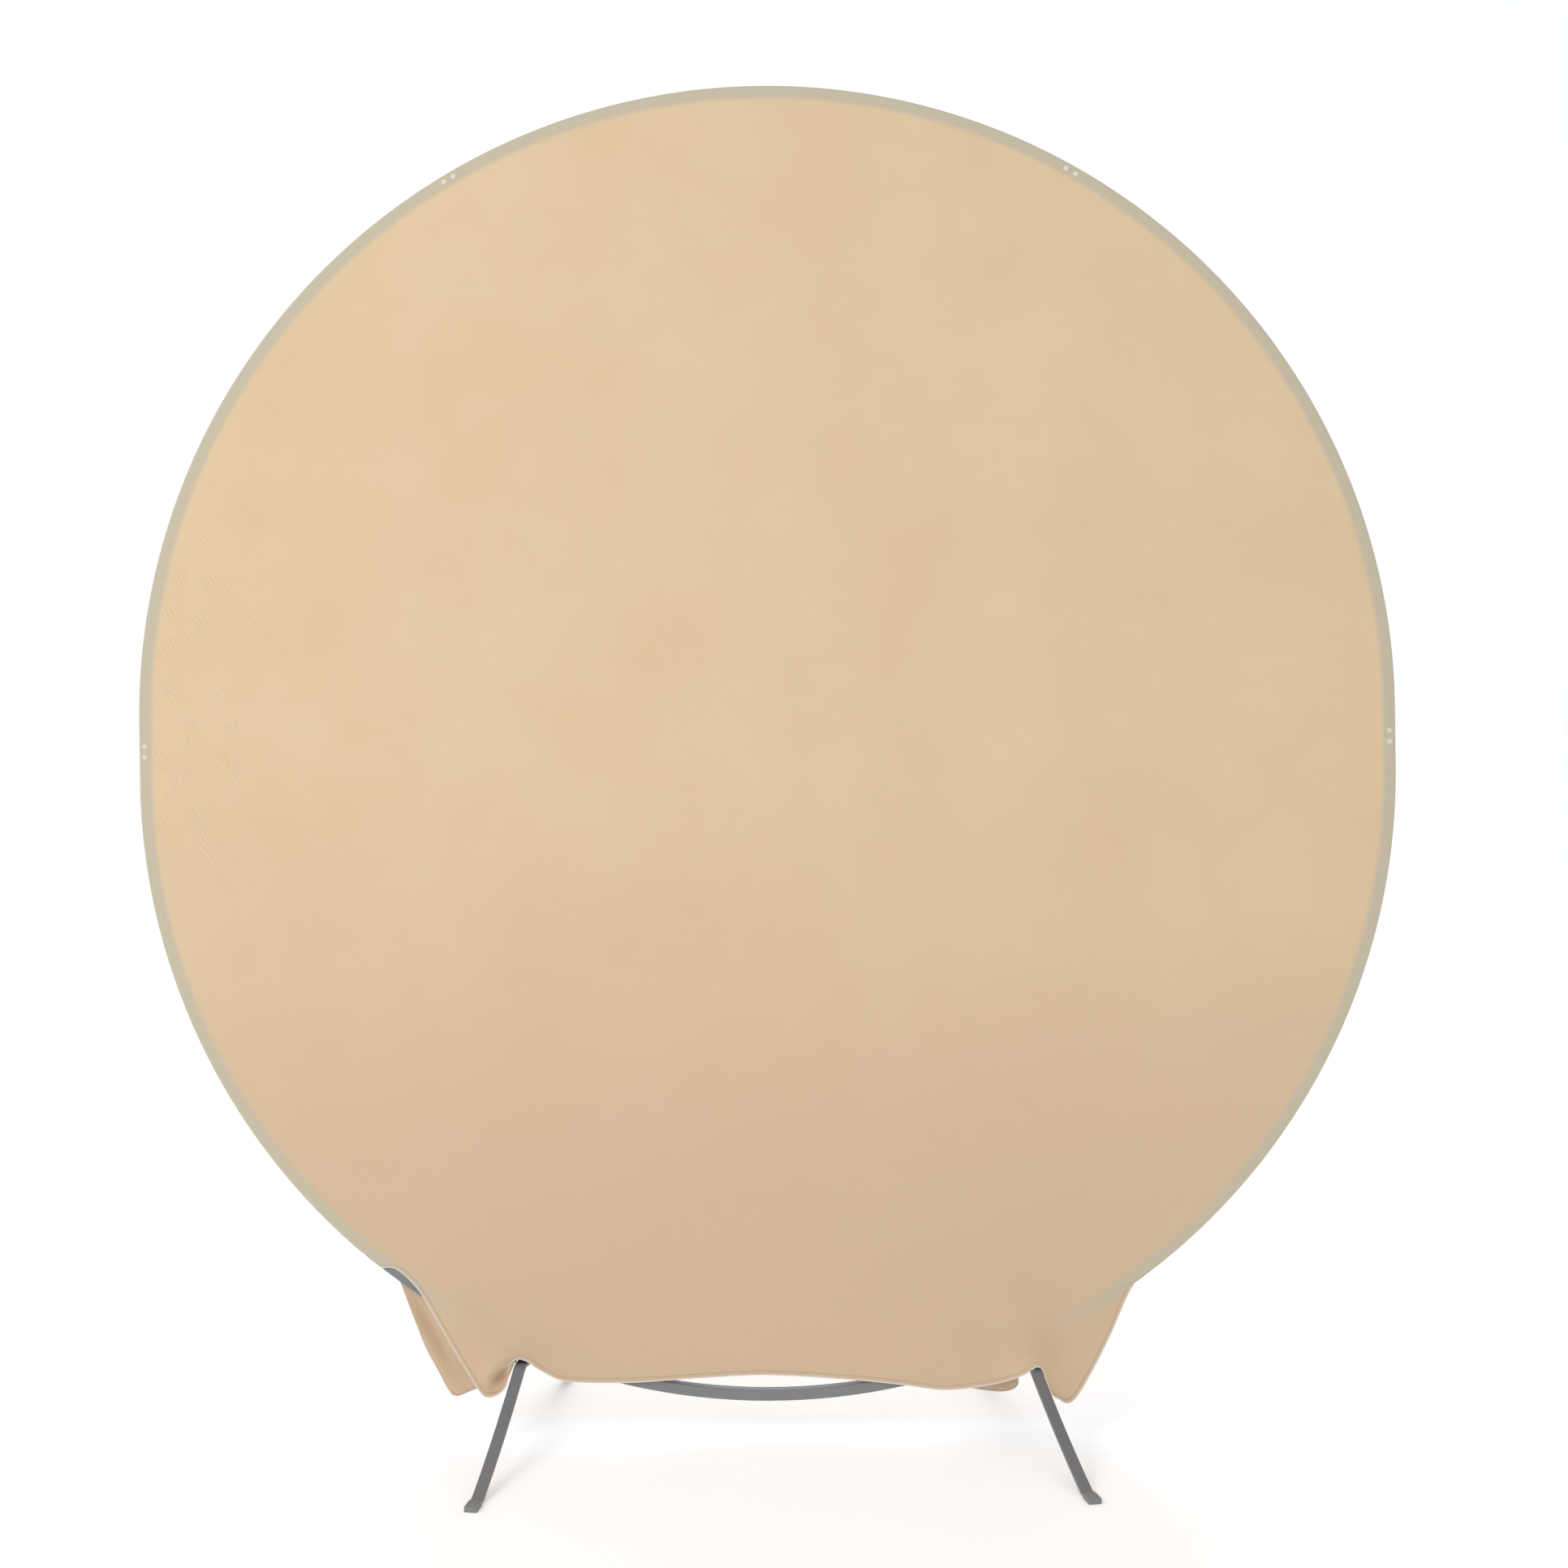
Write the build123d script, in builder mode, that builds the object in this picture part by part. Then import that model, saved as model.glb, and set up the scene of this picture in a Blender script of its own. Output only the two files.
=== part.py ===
from build123d import *
import math
import os

# A round free-standing backdrop stand: a ring of square steel tube in six screwed segments, standing
# on two bent flat-bar feet, with a knitted stretch cover pulled over the ring like a pillowcase.
# Origin on the floor under the middle of the ring. X runs across, -Y is the front, Z is up.

os.makedirs("parts", exist_ok=True)

# Ring
ring_width = 2200.0            # across the outer faces of the tube
tube = 19.0                    # square tube, side
tube_wall = 1.2
tube_corner = 1.8              # rounded outer edges of the tube
side_straight = 105.0          # the two half rings are parted by this straight at each side
ring_lift = 60.0               # floor to the lowest point of the ring
ring_radius = ring_width / 2
low_centre = ring_lift + ring_radius
high_centre = low_centre + side_straight
ring_middle = (low_centre + high_centre) / 2
ring_reach = 2 * ring_radius   # longer than any line from the middle to the rim
shortest_long_edge = 2 * tube  # longer than any edge across the tube

# Ring joints
joiner_gap = 0.3               # play between the tube's bore and the joiner
joiner_wall = 2.0
joiner_half = 40.0             # length of the joiner in each segment
screw_step = 9.5               # screw to joint line
screw_diameter = 4.0
screw_length = 7.0
screw_clearance = 4.4
screw_tapped = 4.1
head_diameter = 7.6
head_height = 2.2
head_round = 1.5
socket_across_flats = 2.5
socket_depth = 1.3

# Feet
foot_x = 439.0                 # bolt to the middle of the stand
foot_toe_out = 10.2            # degrees, front toes outward
foot_swing = 8.0               # degrees either way before the stops
bar_width = 20.0
bar_thickness = 6.0
bar_edge = 0.8                 # softened long edges
bar_end_edge = 7.0             # just longer than the edges across the bar's ends
crown_top = 138.0              # top face of the bar under the saddle
crown_half = 25.0
bend_radius = 40.0
slope_top = 30.0               # degrees below level, just past the crown
slope_toe = 22.0               # degrees below level, just before the toe
toe_flat = 30.0
cap_sole = 1.5
cap_side = 0.6
cap_length = 28.0
cap_end = 1.5
cap_round = 0.5

# Saddle, bolt, washer and nut
saddle_half = 22.0
saddle_stock = 60.0            # height of the block that the saddle is cut from
saddle_lip = 2.4
saddle_lip_height = 12.0
saddle_play = 0.1
saddle_screw_step = 16.0       # along the ring, each side of the bolt
saddle_head_recess = 3.0
saddle_head_play = 0.3
saddle_screw_length = 9.0
stop_height = 3.5
stop_side = 4.0
stop_gap = 0.4
bolt_diameter = 8.0
bolt_hole = 8.6
bolt_across_flats = 13.0
bolt_head_height = 5.3
bolt_chamfer = 0.8
bolt_tip = 149.5
nut_side = 13.0
nut_height = 5.5
nut_seat = 141.8
nut_bore = 8.1
nut_play = 0.4
washer_diameter = 17.0
washer_thickness = 1.6
face_gap = 0.1                 # air between faces that turn on each other
saddle_floor = crown_top + face_gap

# Cover
cloth = 1.0                    # modelled thickness of the knit
cloth_front = 12.5             # inner face of the cloth, from the middle plane of the ring
rim_gap = 0.4
seam_bead = 2.0
hem_width = 6.0
hem_thickness = 0.8
notch_inner = 19.0             # cloth edge to bolt, on the side of the middle of the stand
notch_outer = 27.0
notch_top = 156.0
notch_foot = 88.0
hem_corner = 9.0
front_left_angle = 231.2       # where the front leaves the ring, about the lower centre
front_right_angle = 304.9
back_left_angle = 233.1
back_right_angle = 306.9
rim_end_margin = 1.0


def ring_point(radius, degrees, centre):
    """Point in (X, Z) at an angle, counter-clockwise from +X, about the upper or the lower centre."""
    turn = math.radians(degrees)
    return (radius * math.cos(turn), centre + radius * math.sin(turn))


def ring_band(inset, width):
    """Flat band, the shape of the ring, from inset inside its outer edge to inset + width."""
    with Locations((0, ring_middle)):
        SlotCenterToCenter(side_straight, 2 * (ring_radius - inset), rotation=90)
        SlotCenterToCenter(side_straight, 2 * (ring_radius - inset - width), rotation=90, mode=Mode.SUBTRACT)


def keep_inside(points):
    """Cut the sketch in progress down to the polygon through these points."""
    Polygon(*points, align=None, mode=Mode.INTERSECT)


# Each joint of the ring: middle of the tube, direction along the tube, and the centre of its arc.
middle_radius = ring_radius - tube / 2
joints = {}
for joint_name, joint_angle, arc_centre in (
    ("upper_right", 60, high_centre),
    ("upper_left", 120, high_centre),
    ("lower_left", 240, low_centre),
    ("lower_right", 300, low_centre),
):
    joints[joint_name] = (ring_point(middle_radius, joint_angle, arc_centre), joint_angle + 90, arc_centre)
joints["right"] = ((middle_radius, ring_middle), 90, None)
joints["left"] = ((-middle_radius, ring_middle), 270, None)


def screw_points(joint_name, sides=(-1, 1)):
    """The screw places of a joint, each side of the joint line along the tube."""
    (x, z), direction, _ = joints[joint_name]
    turn = math.radians(direction)
    return [(x + side * screw_step * math.cos(turn), z + side * screw_step * math.sin(turn)) for side in sides]


def saddle_screw_planes(side):
    """Planes on the two screw seats of a saddle, square to the tube's outer face and facing outward."""
    planes = []
    for step in (-saddle_screw_step, saddle_screw_step):
        rise = math.asin(foot_x / ring_radius) + step / ring_radius
        outward = Vector(side * math.sin(rise), 0, -math.cos(rise))
        seat = Vector(0, 0, low_centre) + outward * (ring_radius + saddle_head_recess)
        planes.append(Plane(origin=seat, z_dir=outward))
    return planes


def ring_segment(label, outline, screw_holes, saddle_holes=()):
    """Bent square tube between two joint lines, with a clearance hole near each end in the front wall."""
    with BuildPart() as segment:
        with BuildSketch(Plane.XZ):
            ring_band(0, tube)
            keep_inside(outline)
        extrude(amount=tube / 2, both=True)
        fillet(segment.edges().filter_by(lambda edge: edge.length > shortest_long_edge), radius=tube_corner)
        with BuildSketch(Plane.XZ):
            ring_band(tube_wall, tube - 2 * tube_wall)
            keep_inside(outline)
        extrude(amount=tube / 2 - tube_wall, both=True, mode=Mode.SUBTRACT)
        with BuildSketch(Plane.XZ.offset(tube / 2)):
            with Locations(*screw_holes):
                Circle(screw_clearance / 2)
        extrude(amount=-2 * tube_wall, mode=Mode.SUBTRACT)
        for seat in saddle_holes:
            with BuildSketch(seat):
                Circle(screw_tapped / 2)
            extrude(amount=-screw_length, mode=Mode.SUBTRACT)
    segment.part.label = label
    export_step(segment.part, f"parts/{label}.step")


def rim_direction(degrees, centre):
    """Far point of a joint line, well outside the ring."""
    return ring_point(ring_reach, degrees, centre)


for label, outline, first, second in (
    (
        "ring_segment_top",
        [(0, high_centre), rim_direction(60, high_centre), rim_direction(120, high_centre)],
        screw_points("upper_right", (1,)),
        screw_points("upper_left", (-1,)),
    ),
    (
        "ring_segment_bottom",
        [(0, low_centre), rim_direction(240, low_centre), rim_direction(300, low_centre)],
        screw_points("lower_left", (1,)),
        screw_points("lower_right", (-1,)),
    ),
    (
        "ring_segment_upper_right",
        [(0, ring_middle), (ring_reach, ring_middle), rim_direction(60, high_centre), (0, high_centre)],
        screw_points("right", (1,)),
        screw_points("upper_right", (-1,)),
    ),
    (
        "ring_segment_upper_left",
        [(0, ring_middle), (-ring_reach, ring_middle), rim_direction(120, high_centre), (0, high_centre)],
        screw_points("left", (-1,)),
        screw_points("upper_left", (1,)),
    ),
    (
        "ring_segment_lower_right",
        [(0, ring_middle), (ring_reach, ring_middle), rim_direction(300, low_centre), (0, low_centre)],
        screw_points("right", (-1,)),
        screw_points("lower_right", (1,)),
    ),
    (
        "ring_segment_lower_left",
        [(0, ring_middle), (-ring_reach, ring_middle), rim_direction(240, low_centre), (0, low_centre)],
        screw_points("left", (1,)),
        screw_points("lower_left", (-1,)),
    ),
):
    resting_on_feet = label == "ring_segment_bottom"
    seats = saddle_screw_planes(-1) + saddle_screw_planes(1) if resting_on_feet else []
    ring_segment(label, outline, first + second, seats)


# Joiners: a short length of smaller tube inside each joint, tapped for the two screws.
for joint_name, ((x, z), direction, arc_centre) in joints.items():
    if arc_centre is None:
        reach = math.copysign(ring_reach, x)
        span = [(0, z - joiner_half), (reach, z - joiner_half), (reach, z + joiner_half), (0, z + joiner_half)]
    else:
        half_angle = math.degrees(joiner_half / middle_radius)
        radial = direction - 90
        span = [
            (0, arc_centre),
            rim_direction(radial - half_angle, arc_centre),
            rim_direction(radial + half_angle, arc_centre),
        ]
    joiner_inset = tube_wall + joiner_gap
    joiner_side = tube - 2 * joiner_inset
    with BuildPart() as joiner:
        with BuildSketch(Plane.XZ):
            ring_band(joiner_inset, joiner_side)
            keep_inside(span)
        extrude(amount=joiner_side / 2, both=True)
        with BuildSketch(Plane.XZ):
            ring_band(joiner_inset + joiner_wall, joiner_side - 2 * joiner_wall)
            keep_inside(span)
        extrude(amount=joiner_side / 2 - joiner_wall, both=True, mode=Mode.SUBTRACT)
        with BuildSketch(Plane.XZ.offset(joiner_side / 2)):
            with Locations(*screw_points(joint_name)):
                Circle(screw_tapped / 2)
        extrude(amount=-2 * joiner_wall, mode=Mode.SUBTRACT)
    joiner.part.label = f"ring_joiner_{joint_name}"
    export_step(joiner.part, f"parts/ring_joiner_{joint_name}.step")

    # Two button-head screws with hexagon sockets, seated on the front face of the tube.
    with BuildPart() as screws:
        with BuildSketch(Plane.XZ.offset(tube / 2)):
            with Locations(*screw_points(joint_name)):
                Circle(head_diameter / 2)
        extrude(amount=head_height)
        fillet(screws.edges().group_by(Axis.Y)[0], radius=head_round)
        with BuildSketch(Plane.XZ.offset(tube / 2)):
            with Locations(*screw_points(joint_name)):
                Circle(screw_diameter / 2)
        extrude(amount=-screw_length)
        with BuildSketch(Plane.XZ.offset(tube / 2 + head_height)):
            with Locations(*screw_points(joint_name)):
                RegularPolygon(socket_across_flats / 2, 6, major_radius=False)
        extrude(amount=-socket_depth, mode=Mode.SUBTRACT)
    screws.part.label = f"joint_screws_{joint_name}"
    export_step(screws.part, f"parts/joint_screws_{joint_name}.step")


def foot_plane(side):
    """Upright plane along a foot: local x runs to the front toe, local y is up. Side is +1 right, -1 left."""
    toe = math.radians(foot_toe_out)
    return Plane(
        origin=(side * foot_x, 0, 0),
        x_dir=(side * math.sin(toe), -math.cos(toe), 0),
        z_dir=(-math.cos(toe), -side * math.sin(toe), 0),
    )


# The bar's top face falls from the crown to the toe in one long arc between two tight bends.
toe_top = cap_sole + bar_thickness
top_fall = bend_radius * (1 - math.cos(math.radians(slope_top)))
toe_fall = bend_radius * (1 - math.cos(math.radians(slope_toe)))
leg_fall = crown_top - toe_top - top_fall - toe_fall
leg_radius = leg_fall / (math.cos(math.radians(slope_toe)) - math.cos(math.radians(slope_top)))

for side_name, side in (("left", -1), ("right", 1)):
    upright = foot_plane(side)
    across = Plane(origin=upright.origin, x_dir=(0, 0, 1), z_dir=upright.x_dir)

    with BuildPart() as foot:
        with BuildSketch(upright):
            with BuildLine() as top_line:
                crown = Line((0, crown_top), (crown_half, crown_top))
                top_bend = JernArc(crown @ 1, crown % 1, bend_radius, -slope_top)
                leg = JernArc(top_bend @ 1, top_bend % 1, leg_radius, slope_top - slope_toe)
                toe_bend = JernArc(leg @ 1, leg % 1, bend_radius, slope_toe)
                foot_half = (toe_bend @ 1).X + toe_flat
                Line(toe_bend @ 1, (foot_half, toe_top))
                offset(amount=bar_thickness, side=Side.RIGHT)
            make_face()
        extrude(amount=bar_width / 2, both=True)
        side_faces = foot.faces().filter_by(Axis(upright.origin, upright.z_dir))
        fillet(side_faces.edges().filter_by(lambda edge: edge.length > bar_end_edge), radius=bar_edge)
        mirror(about=across)
        with BuildSketch(Plane.XY.offset(crown_top)):
            with Locations((side * foot_x, 0)):
                Circle(bolt_hole / 2)
        extrude(amount=-bar_thickness, mode=Mode.SUBTRACT)
    foot.part.label = f"foot_bar_{side_name}"
    export_step(foot.part, f"parts/foot_bar_{side_name}.step")

    # Thin soft caps pushed on the four toes, closed at the end, with a flat sole.
    for end_name, end in (("front", 1), ("rear", -1)):
        cap_middle = end * (foot_half + cap_end - cap_length / 2)
        cap_top = 2 * cap_sole + bar_thickness
        with BuildPart() as cap:
            with BuildSketch(upright):
                with Locations((cap_middle, cap_top / 2)):
                    Rectangle(cap_length, cap_top)
            extrude(amount=bar_width / 2 + cap_side, both=True)
            fillet(cap.edges().group_by(Axis.Z)[-1], radius=cap_round)
            with BuildSketch(upright):
                with Locations((cap_middle - end * cap_end, cap_top / 2)):
                    Rectangle(cap_length, bar_thickness)
            extrude(amount=bar_width / 2, both=True, mode=Mode.SUBTRACT)
        cap.part.label = f"toe_cap_{side_name}_{end_name}"
        export_step(cap.part, f"parts/toe_cap_{side_name}_{end_name}.step")

    # Saddle: a wedge with a level underside and a top that fits the sloping tube, with a lip each side.
    with BuildPart() as saddle:
        with BuildSketch(Plane.XZ):
            with Locations((side * foot_x, saddle_floor + saddle_stock / 2)):
                Rectangle(2 * saddle_half, saddle_stock)
            with Locations((0, low_centre)):
                Circle(ring_radius - saddle_lip_height, mode=Mode.SUBTRACT)
        extrude(amount=tube / 2 + saddle_lip, both=True)
        with BuildSketch(Plane.XZ):
            with Locations((0, low_centre)):
                Circle(ring_radius + saddle_play)
        extrude(amount=tube / 2 + saddle_play, both=True, mode=Mode.SUBTRACT)
        # Four posts under the wedge stop the foot at both ends of its swing.
        stop_y = tube / 2 + saddle_lip - stop_side / 2
        stop_y_outer = stop_y + stop_side / 2
        wide_angle = math.radians(foot_toe_out + foot_swing)
        narrow_angle = math.radians(foot_toe_out - foot_swing)
        stop_wide = bar_width / 2 / math.cos(wide_angle) + stop_y_outer * math.tan(wide_angle) + stop_gap
        stop_narrow = bar_width / 2 / math.cos(narrow_angle) - stop_y_outer * math.tan(narrow_angle) + stop_gap
        with BuildSketch(Plane.XY.offset(saddle_floor - stop_height)):
            for front, outer in ((-1, 1), (-1, -1), (1, 1), (1, -1)):
                toe_out_side = front * outer < 0
                near = stop_wide if toe_out_side else stop_narrow
                with Locations((side * (foot_x + outer * (near + stop_side / 2)), front * stop_y)):
                    Rectangle(stop_side, stop_side)
        extrude(amount=stop_height)
        with BuildSketch(Plane.XY.offset(saddle_floor)):
            with Locations((side * foot_x, 0)):
                Circle(bolt_hole / 2)
        extrude(amount=saddle_stock, mode=Mode.SUBTRACT)
        with BuildSketch(Plane.XY.offset(nut_seat)):
            with Locations((side * foot_x, 0)):
                Rectangle(nut_side + nut_play, nut_side + nut_play)
        extrude(amount=saddle_stock, mode=Mode.SUBTRACT)
        for seat in saddle_screw_planes(side):
            with BuildSketch(seat):
                Circle(head_diameter / 2 + saddle_head_play)
            extrude(amount=saddle_stock, mode=Mode.SUBTRACT)
            with BuildSketch(seat):
                Circle(screw_clearance / 2)
            extrude(amount=-2 * saddle_head_recess, mode=Mode.SUBTRACT)
    saddle.part.label = f"foot_saddle_{side_name}"
    export_step(saddle.part, f"parts/foot_saddle_{side_name}.step")

    # Two pan-head screws hold the saddle on the tube, their heads sunk in the wedge.
    with BuildPart() as saddle_screws:
        for seat in saddle_screw_planes(side):
            with BuildSketch(seat):
                Circle(head_diameter / 2)
            extrude(amount=head_height)
            with BuildSketch(seat):
                Circle(screw_diameter / 2)
            extrude(amount=-saddle_screw_length)
            with BuildSketch(seat.offset(head_height)):
                RegularPolygon(socket_across_flats / 2, 6, major_radius=False)
            extrude(amount=-socket_depth, mode=Mode.SUBTRACT)
    saddle_screws.part.label = f"saddle_screws_{side_name}"
    export_step(saddle_screws.part, f"parts/saddle_screws_{side_name}.step")

    # Square nut, held from turning in a pocket of the saddle under the tube.
    with BuildPart() as nut:
        with BuildSketch(Plane.XY.offset(nut_seat)):
            with Locations((side * foot_x, 0)):
                Rectangle(nut_side, nut_side)
                Circle(nut_bore / 2, mode=Mode.SUBTRACT)
        extrude(amount=nut_height)
    nut.part.label = f"saddle_nut_{side_name}"
    export_step(nut.part, f"parts/saddle_nut_{side_name}.step")

    # Plain washer under the bar.
    washer_top = crown_top - bar_thickness - face_gap
    with BuildPart() as washer:
        with BuildSketch(Plane.XY.offset(washer_top)):
            with Locations((side * foot_x, 0)):
                Circle(washer_diameter / 2)
                Circle(bolt_hole / 2, mode=Mode.SUBTRACT)
        extrude(amount=-washer_thickness)
    washer.part.label = f"foot_washer_{side_name}"
    export_step(washer.part, f"parts/foot_washer_{side_name}.step")

    # Hexagon-head bolt, put in from below through washer, bar and saddle into the square nut.
    head_seat = washer_top - washer_thickness
    with BuildPart() as bolt:
        with BuildSketch(Plane.XY.offset(head_seat)):
            with Locations((side * foot_x, 0)):
                RegularPolygon(bolt_across_flats / 2, 6, major_radius=False)
        extrude(amount=-bolt_head_height)
        chamfer(bolt.edges().group_by(Axis.Z)[0], length=bolt_chamfer)
        with BuildSketch(Plane.XY.offset(head_seat)):
            with Locations((side * foot_x, 0)):
                Circle(bolt_diameter / 2)
        extrude(amount=bolt_tip - head_seat)
        chamfer(bolt.edges().group_by(Axis.Z)[-1], length=bolt_chamfer)
    bolt.part.label = f"foot_bolt_{side_name}"
    export_step(bolt.part, f"parts/foot_bolt_{side_name}.step")


def cloth_panel(label, inner_face, outward, hem_points, left_angle, right_angle):
    """Flat face of the cover: round above, hanging below the ring between two corners, with its hem strip."""
    left_rim = ring_point(ring_radius, left_angle, low_centre)
    right_rim = ring_point(ring_radius, right_angle, low_centre)
    with BuildPart() as panel:
        with BuildSketch(Plane.XZ.offset(inner_face)):
            with BuildLine():
                FilletPolyline(left_rim, *hem_points, right_rim, radius=hem_corner)
                CenterArc((0, low_centre), ring_radius, right_angle, 360 - right_angle)
                Line((ring_radius, low_centre), (ring_radius, high_centre))
                CenterArc((0, high_centre), ring_radius, 0, 180)
                Line((-ring_radius, high_centre), (-ring_radius, low_centre))
                CenterArc((0, low_centre), ring_radius, 180, left_angle - 180)
            make_face()
        extrude(amount=outward * cloth)
    panel.part.label = f"cover_{label}_panel"
    export_step(panel.part, f"parts/cover_{label}_panel.step")

    with BuildPart() as hem:
        with BuildSketch(Plane.XZ.offset(inner_face + outward * cloth)):
            with BuildLine():
                FilletPolyline(*hem_points, radius=hem_corner)
                offset(amount=hem_width, side=Side.LEFT)
            make_face()
        extrude(amount=outward * hem_thickness)
    hem.part.label = f"cover_{label}_hem"
    export_step(hem.part, f"parts/cover_{label}_hem.step")


def notch(side):
    """Arch in the hem over a foot, from the outside of the stand inward."""
    outer = side * (foot_x + notch_outer)
    inner = side * (foot_x - notch_inner)
    return [(outer, notch_foot), (outer, notch_top), (inner, notch_top), (inner, notch_foot)]


# Low edge of the front, left to right: a dropped corner, the arch over each foot, a shallow middle.
front_hem = [(-508, 68)] + notch(-1) + [(-340, 98), (-14, 104), (121, 95), (299, 74), (395, 80)]
front_hem += notch(1)[::-1] + [(513, 46)]
cloth_panel("front", cloth_front, 1, front_hem, front_left_angle, front_right_angle)

# Low edge of the back, seen from the front left to right: longer at both corners.
back_hem = [(-560, 62)] + notch(-1) + [(-340, 96), (0, 110), (300, 88), (395, 60)]
back_hem += notch(1)[::-1] + [(545, 62)]
cloth_panel("back", -cloth_front, -1, back_hem, back_left_angle, back_right_angle)

# The cloth round the outside of the tube, and the sewn seam that joins front and back along it.
for label, inset, width, half_depth in (
    ("cover_rim_band", -rim_gap - cloth, cloth, cloth_front + cloth),
    ("cover_rim_seam", -rim_gap - cloth - rim_gap - seam_bead, seam_bead, seam_bead / 2),
):
    with BuildPart() as rim:
        with BuildSketch(Plane.XZ):
            ring_band(inset, width)
            Polygon(
                (0, low_centre),
                rim_direction(min(front_left_angle, back_left_angle) - rim_end_margin, low_centre),
                rim_direction(max(front_right_angle, back_right_angle) + rim_end_margin, low_centre),
                align=None,
                mode=Mode.SUBTRACT,
            )
        extrude(amount=half_depth, both=True)
    rim.part.label = label
    export_step(rim.part, f"parts/{label}.step")
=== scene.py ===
import bmesh
import bpy
import math
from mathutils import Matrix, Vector, noise


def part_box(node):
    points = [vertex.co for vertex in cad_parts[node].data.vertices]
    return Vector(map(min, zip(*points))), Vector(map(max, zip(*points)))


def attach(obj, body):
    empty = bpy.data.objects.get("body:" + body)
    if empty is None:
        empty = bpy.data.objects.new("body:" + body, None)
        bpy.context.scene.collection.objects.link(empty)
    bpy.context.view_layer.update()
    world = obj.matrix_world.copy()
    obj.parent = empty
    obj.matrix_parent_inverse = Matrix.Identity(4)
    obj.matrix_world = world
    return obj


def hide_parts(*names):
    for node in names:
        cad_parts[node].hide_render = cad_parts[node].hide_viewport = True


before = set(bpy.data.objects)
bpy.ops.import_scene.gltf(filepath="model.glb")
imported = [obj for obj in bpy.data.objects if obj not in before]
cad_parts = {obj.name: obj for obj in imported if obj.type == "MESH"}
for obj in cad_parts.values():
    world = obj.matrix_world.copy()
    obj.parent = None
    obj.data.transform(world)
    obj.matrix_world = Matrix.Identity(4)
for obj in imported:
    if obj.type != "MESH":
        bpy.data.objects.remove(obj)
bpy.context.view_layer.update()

# Round backdrop stand: a square-tube ring on two bent flat-bar feet, inside a stretch-knit cover.
# Lengths are in metres. X runs across, -Y is the front, Z is up, and the floor is at Z = 0.

# ---- Studio ----------------------------------------------------------------------------------
# A pale seamless sweep, one large soft light from the upper left front, a weaker one from the
# right, and an even pale sky. The camera stands square to the ring, a little left of its middle.


def linear(hex_colour):
    """An sRGB hex value such as "c0ffee" as linear red, green, blue and alpha."""
    channels = [int(hex_colour[i : i + 2], 16) / 255 for i in (0, 2, 4)]
    return [c / 12.92 if c <= 0.04045 else ((c + 0.055) / 1.055) ** 2.4 for c in channels] + [1.0]


def add_node(tree, kind, settings=None, links=None):
    """Add a shader node, set its properties and input values, and link its inputs to other outputs."""
    node = tree.nodes.new(kind)
    for name, value in (settings or {}).items():
        if name in node.inputs and not hasattr(node, name):
            node.inputs[name].default_value = value
        else:
            setattr(node, name, value)
    for socket, source in (links or {}).items():
        tree.links.new(source, node.inputs[socket])
    return node


def new_material(name):
    """An empty node material with its Principled shader."""
    material = bpy.data.materials.new(name)
    material.use_nodes = True
    return material, material.node_tree, material.node_tree.nodes["Principled BSDF"]


def finish_mesh(form, name, material, smooth=True):
    """Turn a bmesh into an object of the scene with one material."""
    mesh = bpy.data.meshes.new(name)
    form.to_mesh(mesh)
    form.free()
    mesh.materials.append(material)
    for polygon in mesh.polygons:
        polygon.use_smooth = smooth
    piece = bpy.data.objects.new(name, mesh)
    bpy.context.scene.collection.objects.link(piece)
    return piece


camera_place = Vector((-0.100, -3.720, 1.330))
camera_data = bpy.data.cameras.new("studio_camera")
camera_data.sensor_width = 36
camera_data.lens = 48.6
camera_data.shift_x = 0.0475
camera_data.shift_y = -0.0680
camera = bpy.data.objects.new("studio_camera", camera_data)
camera.location = camera_place
camera.rotation_euler = (math.pi / 2, math.radians(0.75), 0)
bpy.context.scene.collection.objects.link(camera)
bpy.context.scene.camera = camera

# The sky lights the stand at 0.64 of full white, and is seen beyond the sweep as full white.
world = bpy.data.worlds.new("pale_studio")
world.use_nodes = True
lit_sky = world.node_tree.nodes["Background"]
lit_sky.inputs["Color"].default_value = linear("ffffff")
lit_sky.inputs["Strength"].default_value = 0.64
seen_sky = add_node(world.node_tree, "ShaderNodeBackground", {"Color": linear("ffffff")})
ray_kind = add_node(world.node_tree, "ShaderNodeLightPath")
either = add_node(
    world.node_tree,
    "ShaderNodeMixShader",
    {},
    {0: ray_kind.outputs["Is Camera Ray"], 1: lit_sky.outputs[0], 2: seen_sky.outputs[0]},
)
world.node_tree.links.new(either.outputs[0], world.node_tree.nodes["World Output"].inputs["Surface"])
bpy.context.scene.world = world
bpy.context.scene.view_settings.view_transform = "Standard"


def soft_light(name, place, aim, size, power):
    """Square area light, turned from its place towards an aim."""
    data = bpy.data.lights.new(name, "AREA")
    data.size = size
    data.energy = power
    light = bpy.data.objects.new(name, data)
    light.location = place
    light.rotation_euler = (Vector(aim) - Vector(place)).to_track_quat("-Z", "Y").to_euler()
    bpy.context.scene.collection.objects.link(light)


stand_middle = (0, 0, 1.2)
soft_light("key_light", (-3.4, -3.6, 4.0), stand_middle, 2.6, 92)
soft_light("fill_light", (3.6, -3.0, 2.2), stand_middle, 3.0, 8)
soft_light("rear_light", (0.0, 4.5, 3.6), stand_middle, 3.0, 44)

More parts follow.
